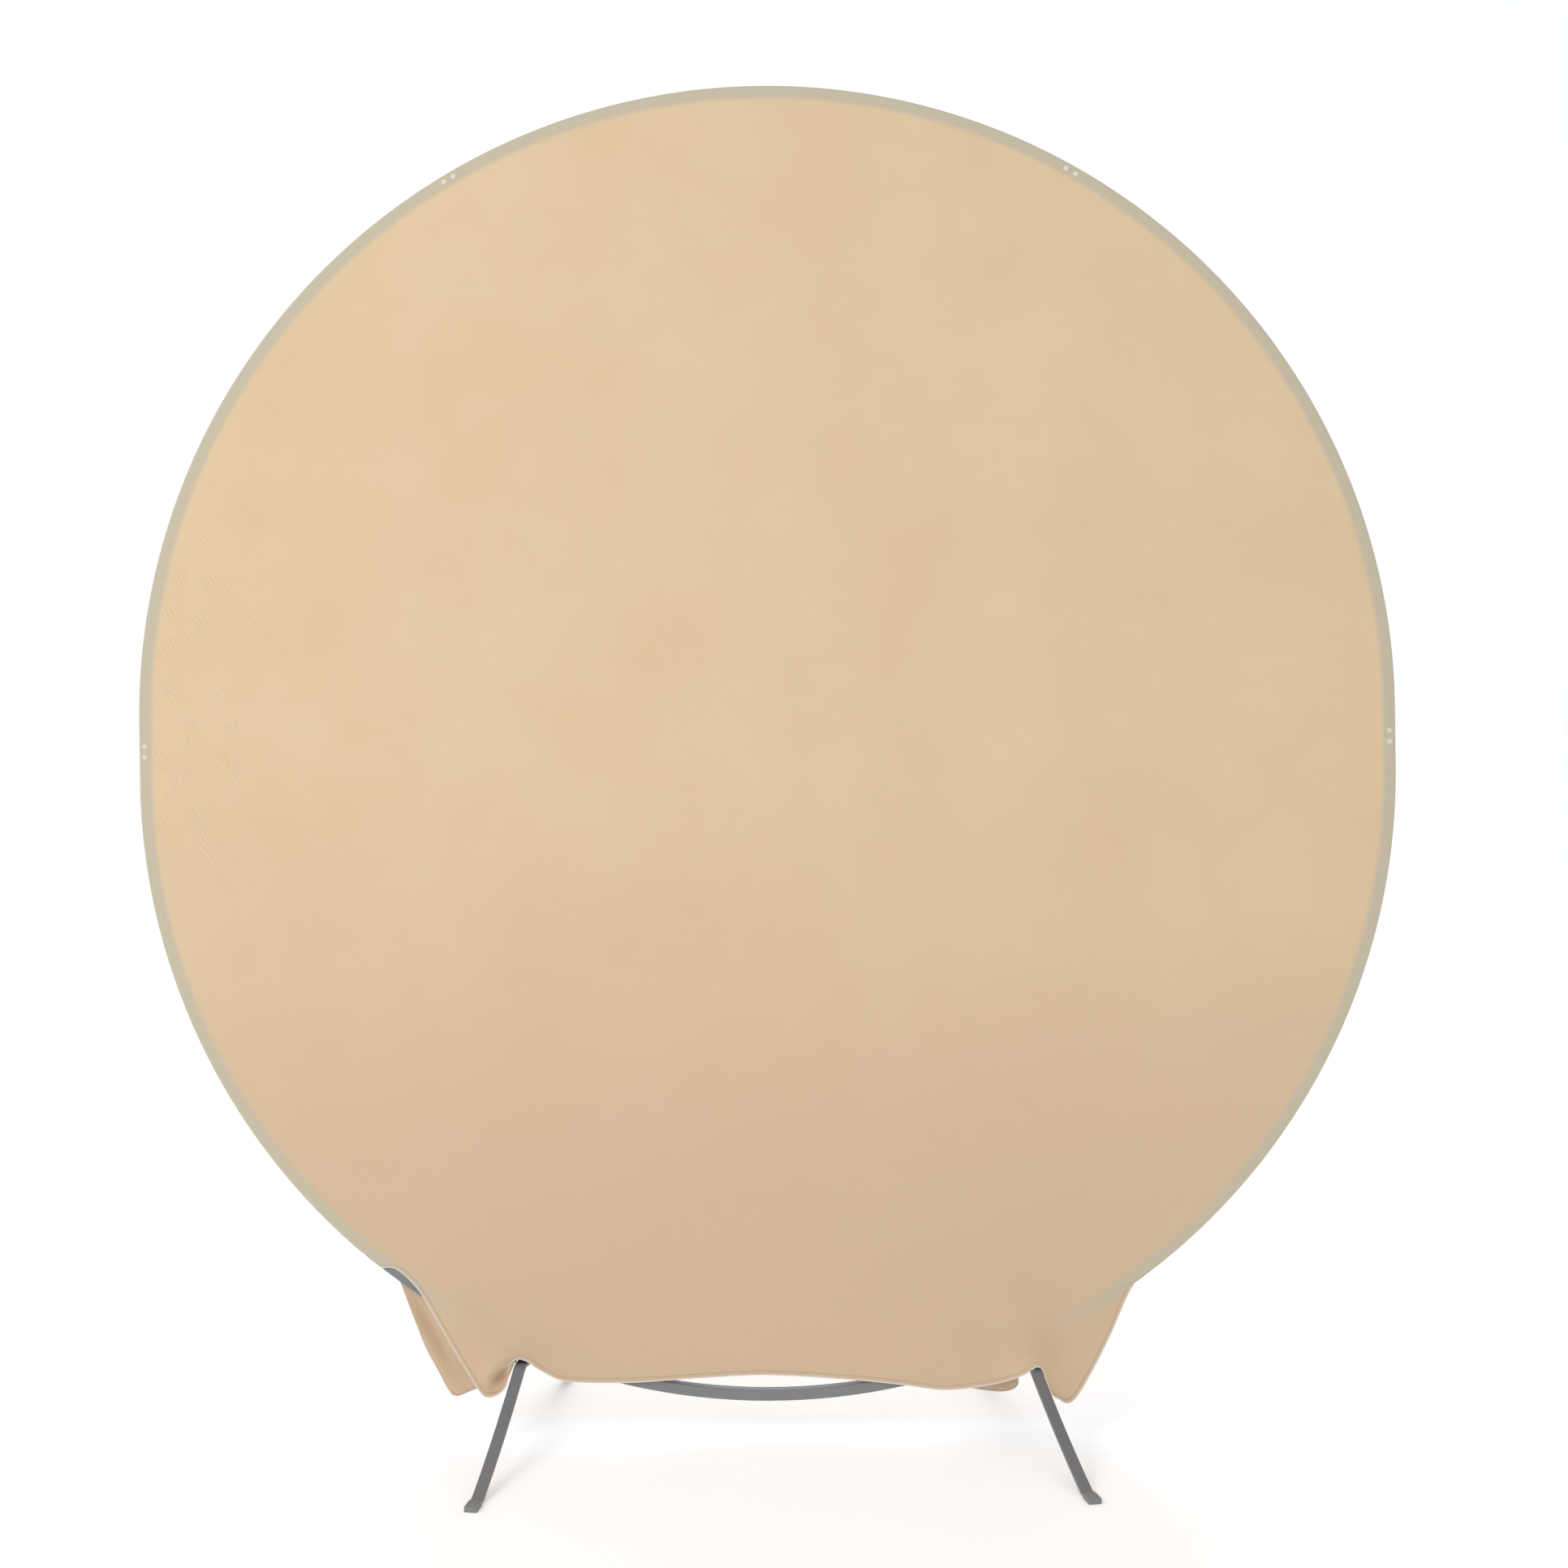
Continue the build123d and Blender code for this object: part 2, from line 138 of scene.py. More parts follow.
# Matt painted sweep: floor, a wide curve, and a wall behind.
sweep_paint, sweep_tree, sweep_shader = new_material("matt_white_studio_paint")
sweep_shader.inputs["Base Color"].default_value = linear("f4f6f9")
sweep_shader.inputs["Roughness"].default_value = 0.9
sweep_shader.inputs["Emission Color"].default_value = linear("ffffff")
sweep_shader.inputs["Emission Strength"].default_value = 0.26
sweep = bmesh.new()
sweep_half = 9.0
sweep_front = -9.0
sweep_turn = 4.0              # where the floor starts to curve up
sweep_bend = 2.0              # radius of that curve
sweep_height = 9.0
start = [sweep.verts.new((x, sweep_front, 0)) for x in (-sweep_half, sweep_half)]
edge = sweep.edges.new(start)
runs = [(0, sweep_turn - sweep_front, 0)]
bend_steps = 16
for step in range(bend_steps):
    turn = math.pi / 2 * (step + 0.5) / bend_steps
    chord = sweep_bend * math.pi / 2 / bend_steps
    runs.append((0, chord * math.cos(turn), chord * math.sin(turn)))
runs.append((0, 0, sweep_height))
for run in runs:
    pulled = bmesh.ops.extrude_edge_only(sweep, edges=[edge])["geom"]
    bmesh.ops.translate(sweep, verts=[g for g in pulled if isinstance(g, bmesh.types.BMVert)], vec=run)
    edge = next(g for g in pulled if isinstance(g, bmesh.types.BMEdge))
bmesh.ops.recalc_face_normals(sweep, faces=sweep.faces)
finish_mesh(sweep, "studio_sweep", sweep_paint)

# ---- Ring, feet and hardware -----------------------------------------------------------------
# Bent square tube and flat bar, shot-blasted and powder coated mid grey. The coat is satin, with
# the slight orange peel that the powder leaves when it melts.


def powder_coat(name, colour, worn_colour):
    """Baked polyester powder on steel, with orange peel about 2 mm across and faint handling marks."""
    material, tree, shader = new_material(name)
    place = add_node(tree, "ShaderNodeTexCoord").outputs["Object"]
    cloudy = add_node(tree, "ShaderNodeTexNoise", {"Scale": 14.0, "Detail": 4.0}, {"Vector": place})
    tone = add_node(tree, "ShaderNodeMix", {"data_type": "RGBA"}, {"Factor": cloudy.outputs["Fac"]})
    tone.inputs[6].default_value = linear(colour)
    tone.inputs[7].default_value = linear(worn_colour)
    peel = add_node(tree, "ShaderNodeTexNoise", {"Scale": 520.0, "Detail": 2.0}, {"Vector": place})
    bump = add_node(
        tree, "ShaderNodeBump", {"Strength": 0.25, "Distance": 0.0002}, {"Height": peel.outputs["Fac"]}
    )
    tree.links.new(tone.outputs[2], shader.inputs["Base Color"])
    tree.links.new(bump.outputs["Normal"], shader.inputs["Normal"])
    shader.inputs["Roughness"].default_value = 0.48
    return material


ring_coat = powder_coat("powder_coated_ring_steel", "838587", "7a7c7e")
foot_coat = powder_coat("powder_coated_foot_steel", "7b7d80", "727477")

# Drawn steel tube, uncoated: fine die lines run along it.
bare_steel, tree, shader = new_material("drawn_steel_tube")
place = add_node(tree, "ShaderNodeTexCoord").outputs["Object"]
lines = add_node(tree, "ShaderNodeTexNoise", {"Scale": 900.0, "Detail": 2.0}, {"Vector": place})
bump = add_node(
    tree, "ShaderNodeBump", {"Strength": 0.2, "Distance": 0.0001}, {"Height": lines.outputs["Fac"]}
)
tree.links.new(bump.outputs["Normal"], shader.inputs["Normal"])
shader.inputs["Base Color"].default_value = linear("a2a3a6")
shader.inputs["Metallic"].default_value = 1.0
shader.inputs["Roughness"].default_value = 0.42

# Bright zinc plate on the screws, bolts, nuts and washers, slightly cloudy from the bath.
zinc, tree, shader = new_material("bright_zinc_plate")
place = add_node(tree, "ShaderNodeTexCoord").outputs["Object"]
cloudy = add_node(tree, "ShaderNodeTexNoise", {"Scale": 350.0, "Detail": 3.0}, {"Vector": place})
rough = add_node(
    tree, "ShaderNodeMapRange", {"To Min": 0.25, "To Max": 0.45}, {"Value": cloudy.outputs["Fac"]}
)
tree.links.new(rough.outputs["Result"], shader.inputs["Roughness"])
shader.inputs["Base Color"].default_value = linear("c9cbcf")
shader.inputs["Metallic"].default_value = 1.0

# Dipped grey vinyl on the toes: soft, slightly dusty, with a fine grain.
vinyl, tree, shader = new_material("soft_grey_vinyl")
place = add_node(tree, "ShaderNodeTexCoord").outputs["Object"]
grain = add_node(tree, "ShaderNodeTexNoise", {"Scale": 1400.0, "Detail": 2.0}, {"Vector": place})
dust = add_node(tree, "ShaderNodeTexNoise", {"Scale": 60.0, "Detail": 4.0}, {"Vector": place})
tone = add_node(tree, "ShaderNodeValToRGB", {}, {"Fac": dust.outputs["Fac"]})
tone.color_ramp.elements[0].color = linear("7b7c7e")
tone.color_ramp.elements[1].color = linear("87888a")
bump = add_node(
    tree, "ShaderNodeBump", {"Strength": 0.3, "Distance": 0.0001}, {"Height": grain.outputs["Fac"]}
)
tree.links.new(tone.outputs["Color"], shader.inputs["Base Color"])
tree.links.new(bump.outputs["Normal"], shader.inputs["Normal"])
shader.inputs["Roughness"].default_value = 0.62

# Injection-moulded nylon of the saddles: dark grey, spark-eroded mould grain.
nylon, tree, shader = new_material("moulded_grey_nylon")
place = add_node(tree, "ShaderNodeTexCoord").outputs["Object"]
grain = add_node(tree, "ShaderNodeTexVoronoi", {"Scale": 1600.0}, {"Vector": place})
bump = add_node(
    tree, "ShaderNodeBump", {"Strength": 0.25, "Distance": 0.0001}, {"Height": grain.outputs["Distance"]}
)
tree.links.new(bump.outputs["Normal"], shader.inputs["Normal"])
shader.inputs["Base Color"].default_value = linear("55565a")
shader.inputs["Roughness"].default_value = 0.55

for node_name, node_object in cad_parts.items():
    if node_name.startswith("ring_segment"):
        finish = ring_coat
    elif node_name.startswith("foot_bar"):
        finish = foot_coat
    elif node_name.startswith("ring_joiner"):
        finish = bare_steel
    elif node_name.startswith("toe_cap"):
        finish = vinyl
    elif node_name.startswith("foot_saddle"):
        finish = nylon
    else:
        finish = zinc
    for material_slot in node_object.material_slots:
        material_slot.material = finish

# ---- Cover cloth -----------------------------------------------------------------------------
# Polyester and elastane jersey, sand-coloured, about 0.5 mm thick. The cover is two round panels
# sewn together along the outside of the tube and left open between two points low on the ring.

ring_low, ring_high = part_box("ring_segment_bottom")[0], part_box("ring_segment_top")[1]
ring_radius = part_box("ring_segment_upper_right")[1].x
tube = ring_high.y * 2
low_centre = ring_low.z + ring_radius
high_centre = ring_high.z - ring_radius
ring_middle = (low_centre + high_centre) / 2
cloth_thickness = 0.0005
cloth_gap = 0.0006            # inner face of the cloth to the tube
tube_corner = 0.0018
face_depth = tube / 2 + cloth_gap
flat_edge = tube + 0.009      # the flat disc ends this far inside the ring's outer edge
joint_degrees = {"right": 0, "upper_right": 60, "upper_left": 120, "left": 180}
screw_step = 0.0095           # from a joint to the screw on each side of it
screw_head = 0.0076
screw_rise = 0.0024
dome_top = 0.25               # the cloth is level over a screw out to this share of its head's width
dome_foot = 0.8               # and back on the tube at this share
hem_step = 0.005              # between columns of the mesh along the hem
hem_mark_every = 4
hem_reach = 0.050             # how far up the cloth the hem's standing off is felt
slack_height = 0.45           # the cloth is drawn flat above this
wrap_columns = 260            # columns round the tube, before those at the screws
screw_columns = 9             # more columns on each side of a joint
screw_column_step = 0.0025
wrap_end_fade = 0.05          # the wrap round the tube narrows to nothing over this at both ends
turn_reach = 14               # hem points on each side that a column's direction is averaged over
least_turn = 0.0002           # in radians, from one column along the hem to the next
disc_drawn_in = 0.075         # how far the flat disc's edge moves in, away from the contacts
disc_drawn_run = 0.22         # length of hem over which it does
contact_fade = 0.10           # near a contact the cloth comes down to the ring over this distance
far_share = 0.3               # the larger, the sooner the standing off dies away from the hem
dip_start = 0.004             # a fold may dip from this far inside the ring's outer edge
dip_full = 0.03               # and in full this far outside it
fold_rise = (-0.15, 0.45)     # shares of a fold's length between which it rises, and falls
fold_fall = (0.6, 1.15)
wave_scale = 2.6              # of the slight waves in the flat disc, per metre
wave_height = 0.0018
wave_calm = (0.55, 0.98)      # shares of a column between which the waves die away

# The band where the tube shows through is a little wider than the tube. Its greyer colour is partly the steel
# seen through the cloth and partly painted shade where the tube blocks light coming through. Below the
# contacts it blurs as the cloth leaves the steel, and is mostly lost.
band_before = 0.008           # it starts this far inside the tube's inner edge
band_after = 0.004            # and is full this far past it
band_end_in = 0.003           # it starts to end this far inside the ring's outer edge
band_end_out = 0.006          # and is gone this far outside it
band_slack_start = 0.02       # length of hem from a contact where the blur starts
band_slack_full = 0.24        # and where it is full
band_blur = 0.014
band_lost = 0.85


def smooth_step(value, low, high):
    """Rise smoothly from 0 at low to 1 at high."""
    share = min(max((value - low) / (high - low), 0.0), 1.0)
    return share * share * (3 - 2 * share)


def ring_station(travel, start_degrees):
    """A point of the ring's outer edge and its outward direction in (X, Z), at a distance along the
    edge, counter-clockwise from a start angle on the lower right arc, given about the lower centre."""
    to_straight = -math.radians(start_degrees) * ring_radius
    straight = high_centre - low_centre
    if travel < to_straight:
        turn = math.radians(start_degrees) + travel / ring_radius
        centre = low_centre
    elif travel < to_straight + straight:
        return Vector((ring_radius, low_centre + travel - to_straight)), Vector((1, 0))
    elif travel < to_straight + straight + math.pi * ring_radius:
        turn = (travel - to_straight - straight) / ring_radius
        centre = high_centre
    elif travel < to_straight + 2 * straight + math.pi * ring_radius:
        rest = travel - to_straight - straight - math.pi * ring_radius
        return Vector((-ring_radius, high_centre - rest)), Vector((-1, 0))
    else:
        turn = (travel - to_straight - 2 * straight) / ring_radius
        centre = low_centre
    outward = Vector((math.cos(turn), math.sin(turn)))
    return Vector((0, centre)) + outward * ring_radius, outward


def ring_travel(start_degrees, end_degrees):
    """Length of the ring's outer edge from a point on the lower right arc over the top to one on the
    lower left arc, both angles about the lower centre."""
    swept = math.radians(end_degrees - start_degrees)
    return swept * ring_radius + 2 * (high_centre - low_centre)


def smooth_line(points, spacing):
    """Evenly spaced points on a smooth line through the given points."""
    cuts = 12
    dense = []
    for i in range(len(points) - 1):
        before = points[max(i - 1, 0)]
        after = points[min(i + 2, len(points) - 1)]
        first, second = points[i], points[i + 1]
        for step in range(cuts):
            t = step / cuts
            dense.append(
                0.5
                * (
                    2 * first
                    + (second - before) * t
                    + (2 * before - 5 * first + 4 * second - after) * t**2
                    + (3 * first - before - 3 * second + after) * t**3
                )
            )
    dense.append(points[-1])
    lengths = [0.0]
    for a, b in zip(dense, dense[1:]):
        lengths.append(lengths[-1] + (b - a).length)
    count = round(lengths[-1] / spacing)
    even, i = [], 0
    for step in range(count + 1):
        wanted = lengths[-1] * step / count
        while i < len(dense) - 2 and lengths[i + 1] < wanted:
            i += 1
        share = (wanted - lengths[i]) / max(lengths[i + 1] - lengths[i], 1e-9)
        even.append(dense[i].lerp(dense[i + 1], share))
    return even


def screw_cover(x, z):
    """How far the cloth is over a screw head of a ring joint: 1 on the head, 0 away from it."""
    cover = 0.0
    for degrees in joint_degrees.values():
        turn = math.radians(degrees)
        radius = ring_radius - tube / 2
        if degrees in (0, 180):
            middle, along = Vector((radius * math.cos(turn), ring_middle)), Vector((0, 1))
        else:
            middle = Vector((radius * math.cos(turn), high_centre + radius * math.sin(turn)))
            along = Vector((-math.sin(turn), math.cos(turn)))
        for side in (-1, 1):
            away = (Vector((x, z)) - middle - along * side * screw_step).length
            cover = max(cover, 1 - smooth_step(away, screw_head * dome_top, screw_head * dome_foot))
    return cover


def fold_lift(x, z, folds):
    """Sum of long rounded folds: each runs between two points, with a height, a half width and a
    fade towards both ends."""
    lift = 0.0
    for (x0, z0), (x1, z1), height, width in folds:
        first, along = Vector((x0, z0)), Vector((x1 - x0, z1 - z0))
        share = (Vector((x, z)) - first).dot(along) / along.length_squared
        nearest = first + along * min(max(share, 0.0), 1.0)
        away = (Vector((x, z)) - nearest).length
        fade = smooth_step(share, *fold_rise) * (1 - smooth_step(share, *fold_fall))
        lift += height * math.exp(-((away / width) ** 2)) * fade
    return lift


def push_out(x, z, pushes):
    """Sum of round bulges, each with its middle, its height and its half width."""
    lift = 0.0
    for middle_x, middle_z, height, width in pushes:
        away = math.hypot(x - middle_x, z - middle_z)
        lift += height * math.exp(-((away / width) ** 2))
    return lift


class Panel:
    """One face of the cover as a sheet that can be laid out: columns run from the middle outward,
    round the tube to the seam, or below the ring to the hem."""

    def __init__(self, front, hem_points, folds, pushes, wave_seed):
        self.front = front
        self.folds = folds
        self.pushes = pushes
        self.wave_seed = wave_seed
        self.hem = smooth_line([Vector(p) for p in hem_points], hem_step)
        self.hem_marks = self.hem[::hem_mark_every]
        first, last = self.hem[0], self.hem[-1]
        self.left_degrees = math.degrees(math.atan2(first.z - low_centre, first.x)) % 360
        self.right_degrees = math.degrees(math.atan2(last.z - low_centre, last.x))
        self.travel = ring_travel(self.right_degrees, self.left_degrees)
        places = {round(self.travel * i / wrap_columns, 5) for i in range(1, wrap_columns)}
        to_straight = -math.radians(self.right_degrees) * ring_radius
        straight = high_centre - low_centre
        for degrees in joint_degrees.values():
            past = to_straight + straight + math.radians(degrees) * ring_radius
            if degrees == 0:
                past = to_straight + straight / 2
            if degrees == 180:
                past = to_straight + 1.5 * straight + math.pi * ring_radius
            extra = range(-screw_columns, screw_columns + 1)
            places |= {round(past + screw_column_step * i, 5) for i in extra}
        self.wraps = sorted(p for p in places if 0 < p < self.travel)
        raw = [math.atan2(p.z - low_centre, p.x) % (2 * math.pi) for p in self.hem]
        self.anchor_turns = []
        for i in range(len(raw)):
            beside = range(i - turn_reach, i + turn_reach + 1)
            near = [raw[min(max(j, 0), len(raw) - 1)] for j in beside]
            self.anchor_turns.append(sum(near) / len(near))
        for i in range(1, len(raw)):
            self.anchor_turns[i] = max(self.anchor_turns[i], self.anchor_turns[i - 1] + least_turn)
        self.columns = len(self.wraps) + len(self.hem)

    def from_contact(self, i):
        """Length of hem between one of its points and the nearer place where it meets the ring."""
        return min(i, len(self.hem) - 1 - i) * hem_step

    def stand_off(self, x, z):
        """How far the slack cloth low down stands off the face of the ring: it follows the hem near
        the hem, and less with distance, and then come the folds and the pushes of the feet."""
        if z > slack_height:
            return 0.0
        near, lift = 0.0, 0.0
        for mark in self.hem_marks:
            weight = math.exp(-((mark.x - x) ** 2 + (mark.z - z) ** 2) / hem_reach**2)
            near += weight
            lift += weight * max(-mark.y - face_depth, 0.0)
        along_straight = hem_reach * math.sqrt(math.pi) / (hem_step * hem_mark_every)
        far = far_share * along_straight
        lift *= (along_straight + far) / along_straight / (near + far)
        contacts = (self.hem[0], self.hem[-1])
        lift *= smooth_step(min(math.hypot(c.x - x, c.z - z) for c in contacts), 0.0, contact_fade)
        radius = math.hypot(x, z - low_centre)
        past_tube = smooth_step(radius, ring_radius - dip_start, ring_radius + dip_full)
        fold = fold_lift(x, z, self.folds)
        lift += fold if fold > 0 else fold * past_tube
        return max(lift + push_out(x, z, self.pushes), 0.0)

    def anchor(self, column):
        """Where a column leaves the flat disc, in (X, Z)."""
        if column < len(self.wraps):
            edge, outward = ring_station(self.wraps[column], self.right_degrees)
            return edge - outward * flat_edge
        i = column - len(self.wraps)
        turn = self.anchor_turns[i]
        drawn_in = disc_drawn_in * smooth_step(self.from_contact(i), 0.0, disc_drawn_run)
        radius = ring_radius - flat_edge - drawn_in
        return Vector((radius * math.cos(turn), low_centre + radius * math.sin(turn)))

    def outer_place(self, column, share):
        """A point of the outer stretch of a column: over the tube to the seam, or down to the hem.
        Also how much of the tube, and of a screw head, shows through there, from 0 to 1."""
        if column < len(self.wraps):
            travel = self.wraps[column]
            edge, outward = ring_station(travel, self.right_degrees)
            flat_run = flat_edge - tube_corner
            corner_radius = tube_corner + cloth_gap
            corner_run = corner_radius * math.pi / 2
            side_run = face_depth - corner_radius
            total = flat_run + corner_run + side_run
            from_end = min(travel, self.travel - travel)
            reach = total - (total - flat_run) * (1 - smooth_step(from_end, 0.0, wrap_end_fade))
            run = share * reach
            if run < flat_run:
                offset, depth = run - flat_edge, face_depth
            elif run < flat_run + corner_run:
                turn = (run - flat_run) / corner_radius
                offset = -tube_corner + corner_radius * math.sin(turn)
                depth = face_depth - corner_radius * (1 - math.cos(turn))
            else:
                offset = cloth_gap
                depth = face_depth - corner_radius - (run - flat_run - corner_run)
            place = edge + outward * offset
            over_screw = screw_cover(place.x, place.y) if self.front and run < flat_run else 0.0
            depth += screw_rise * over_screw
            behind = smooth_step(offset, -tube - band_before, -tube + band_after)
            return Vector((place.x, -depth, place.y)), behind, over_screw
        i = column - len(self.wraps)
        flat = self.anchor(column).lerp(Vector((self.hem[i].x, self.hem[i].z)), share)
        radius = math.hypot(flat.x, flat.y - low_centre)
        slack = smooth_step(self.from_contact(i), band_slack_start, band_slack_full)
        blur = band_blur * slack
        inner_edge = ring_radius - tube
        over_tube = smooth_step(radius, inner_edge - band_before - blur, inner_edge + band_after + blur)
        end_start = ring_radius - band_end_in - blur
        over_tube *= 1 - smooth_step(radius, end_start, ring_radius + band_end_out + blur)
        over_tube *= 1 - band_lost * slack
        return Vector((flat.x, -face_depth - self.stand_off(flat.x, flat.y), flat.y)), over_tube, 0.0

    def inner_place(self, column, share):
        """A point of the flat disc, from the middle to the column's anchor."""
        end = self.anchor(column)
        flat = Vector((0, ring_middle)).lerp(end, share)
        wave = noise.noise(Vector((flat.x * wave_scale, flat.y * wave_scale, self.wave_seed)))
        calm = 1 - smooth_step(share, *wave_calm)
        depth = face_depth + wave_height * wave * calm + self.stand_off(flat.x, flat.y)
        return Vector((flat.x, -depth, flat.y))

    def place(self, point):
        """Front pieces as laid out; the back panel faces the other way."""
        return point if self.front else Vector((point.x, -point.y, point.z))


inner_rows = 30
outer_rows = 22
first_share = 0.03            # of a column, from the middle out to the first row
row_crowding = 0.8            # under 1, the rows come closer together towards the edge
start_radius = 0.03           # of the circle that the sheet is pulled out from


def lay_panel(panel, name, material):
    """Make the sheet: a small circle in the middle is pulled outward row by row to the edge."""
    form = bmesh.new()
    tube_layer = form.verts.layers.float.new("tube_behind")
    screw_layer = form.verts.layers.float.new("screw_behind")
    spread = [(i / inner_rows) ** row_crowding for i in range(inner_rows + 1)]
    shares = [(0, first_share + (1 - first_share) * s) for s in spread]
    shares += [(1, (i + 1) / outer_rows) for i in range(outer_rows)]
    made = bmesh.ops.create_circle(
        form, cap_ends=True, cap_tris=True, segments=panel.columns, radius=start_radius
    )
    rim = sorted(
        (v for v in made["verts"] if v.co.length > start_radius / 2),
        key=lambda v: math.atan2(v.co.y, v.co.x) % (2 * math.pi),
    )
    middle = [v for v in made["verts"] if v.co.length <= start_radius / 2]
    for v in middle:
        v.co = panel.place(Vector((0, -face_depth, ring_middle)))
    rows = [rim]
    for row, (outer, share) in enumerate(shares):
        if row:
            edges = [
                form.edges.get((rows[-1][i], rows[-1][(i + 1) % panel.columns])) for i in range(panel.columns)
            ]
            pulled = bmesh.ops.extrude_edge_only(form, edges=edges)["geom"]
            fresh = {v for v in pulled if isinstance(v, bmesh.types.BMVert)}
            row_verts = []
            for v in rows[-1]:
                row_verts.append(next(e.other_vert(v) for e in v.link_edges if e.other_vert(v) in fresh))
            rows.append(row_verts)
        for column, v in enumerate(rows[-1]):
            if outer:
                point, v[tube_layer], v[screw_layer] = panel.outer_place(column, share)
            else:
                point, v[tube_layer], v[screw_layer] = panel.inner_place(column, share), 0.0, 0.0
            v.co = panel.place(point)
    bmesh.ops.recalc_face_normals(form, faces=form.faces)
    form.faces.ensure_lookup_table()
    outward = -1 if panel.front else 1
    if form.faces[0].normal.y * outward < 0:
        bmesh.ops.reverse_faces(form, faces=form.faces)
    piece = finish_mesh(form, name, material)
    shell = piece.modifiers.new("cloth_thickness", "SOLIDIFY")
    shell.thickness = cloth_thickness
    shell.offset = 1.0
    return piece


# Weft-knitted polyester and elastane, dyed sand. It is matt with a faint sheen and thin enough for the steel
# behind it to show as a greyer band, which is also painted shade where the tube blocks light coming through.
# The colour is painted darker low down as shade, and paler over the screw heads, where the bright heads show
# through and a painted highlight sits on each dome.
jersey, tree, shader = new_material("sand_polyester_jersey")
place = add_node(tree, "ShaderNodeTexCoord").outputs["Object"]
cloudy = add_node(
    tree, "ShaderNodeTexNoise", {"Scale": 3.0, "Detail": 6.0, "Roughness": 0.6}, {"Vector": place}
)
tone = add_node(tree, "ShaderNodeValToRGB", {}, {"Fac": cloudy.outputs["Fac"]})
tone.color_ramp.elements[0].position = 0.35
tone.color_ramp.elements[0].color = linear("ddc29d")
tone.color_ramp.elements[1].position = 0.65
tone.color_ramp.elements[1].color = linear("e2c8a4")
height = add_node(tree, "ShaderNodeSeparateXYZ", {}, {"Vector": place}).outputs["Z"]
# Painted shade: the ramp below (slack) darkens the cloth from 1.25 m down to 0.25 m above the floor, up to
# 0.85 of the way to d2b799.
slack = add_node(
    tree,
    "ShaderNodeMapRange",
    {"interpolation_type": "SMOOTHSTEP", "From Min": 1.25, "From Max": 0.25, "To Max": 0.85},
    {"Value": height},
)
low_shade_mix = add_node(tree, "ShaderNodeMix", {"data_type": "RGBA"}, {0: slack.outputs["Result"]})
tree.links.new(tone.outputs["Color"], low_shade_mix.inputs[6])
low_shade_mix.inputs[7].default_value = linear("d2b799")
# Greyer band over the tube: the steel seen through the cloth, and painted shade where it blocks light coming
# through.
tube_mask = add_node(tree, "ShaderNodeAttribute", {"attribute_name": "tube_behind"})
tube_show_and_shade = add_node(
    tree,
    "ShaderNodeMix",
    {"data_type": "RGBA"},
    {0: tube_mask.outputs["Fac"], 6: low_shade_mix.outputs[2]},
)
tube_show_and_shade.inputs[7].default_value = linear("c6bba4")
# Paler over the screw heads: the bright heads seen through the stretched cloth, and a painted highlight on
# each dome.
screw_mask = add_node(tree, "ShaderNodeAttribute", {"attribute_name": "screw_behind"})
screw_show_and_highlight = add_node(
    tree,
    "ShaderNodeMix",
    {"data_type": "RGBA"},
    {0: screw_mask.outputs["Fac"], 6: tube_show_and_shade.outputs[2]},
)
screw_show_and_highlight.inputs[7].default_value = linear("e6dcc9")
# Wales about 1.5 mm apart and courses 1.2 mm, half as coarse again as the real ones so that they show.
wales = add_node(
    tree, "ShaderNodeTexWave", {"bands_direction": "X", "Scale": 210.0, "Distortion": 0.6}, {"Vector": place}
)
courses = add_node(
    tree, "ShaderNodeTexWave", {"bands_direction": "Z", "Scale": 260.0, "Distortion": 0.6}, {"Vector": place}
)
knit = add_node(
    tree, "ShaderNodeMath", {"operation": "MULTIPLY"}, {0: wales.outputs["Fac"], 1: courses.outputs["Fac"]}
)
fine = add_node(tree, "ShaderNodeBump", {"Strength": 0.12, "Distance": 0.0003}, {"Height": knit.outputs[0]})
# Short tension ripples about 9 mm apart run down and inward from the left side of the ring.
slant = add_node(tree, "ShaderNodeMapping", {"Rotation": (0, math.radians(38), 0)}, {"Vector": place})
ripples = add_node(
    tree,
    "ShaderNodeTexWave",
    {"bands_direction": "X", "Scale": 35.0, "Distortion": 7.0, "Detail": 2.0, "Detail Scale": 1.1},
    {"Vector": slant.outputs["Vector"]},
)
side_way = add_node(tree, "ShaderNodeSeparateXYZ", {}, {"Vector": place}).outputs["X"]
near_left = add_node(
    tree,
    "ShaderNodeMapRange",
    {"interpolation_type": "SMOOTHSTEP", "From Min": -0.78, "From Max": -0.98},
    {"Value": side_way},
)
above = add_node(
    tree,
    "ShaderNodeMapRange",
    {"interpolation_type": "SMOOTHSTEP", "From Min": 0.75, "From Max": 1.05},
    {"Value": height},
)
below = add_node(
    tree,
    "ShaderNodeMapRange",
    {"interpolation_type": "SMOOTHSTEP", "From Min": 1.8, "From Max": 1.5},
    {"Value": height},
)
level = add_node(
    tree,
    "ShaderNodeMath",
    {"operation": "MULTIPLY"},
    {0: above.outputs["Result"], 1: below.outputs["Result"]},
)
patch = add_node(
    tree, "ShaderNodeMath", {"operation": "MULTIPLY"}, {0: level.outputs[0], 1: near_left.outputs["Result"]}
)
broken = add_node(
    tree, "ShaderNodeTexNoise", {"Scale": 26.0, "Detail": 1.0}, {"Vector": slant.outputs["Vector"]}
)
short = add_node(
    tree, "ShaderNodeMapRange", {"From Min": 0.42, "From Max": 0.68}, {"Value": broken.outputs["Fac"]}
)
off_tube = add_node(
    tree,
    "ShaderNodeMath",
    {"operation": "SUBTRACT", "use_clamp": True},
    {0: patch.outputs[0], 1: tube_mask.outputs["Fac"]},
)
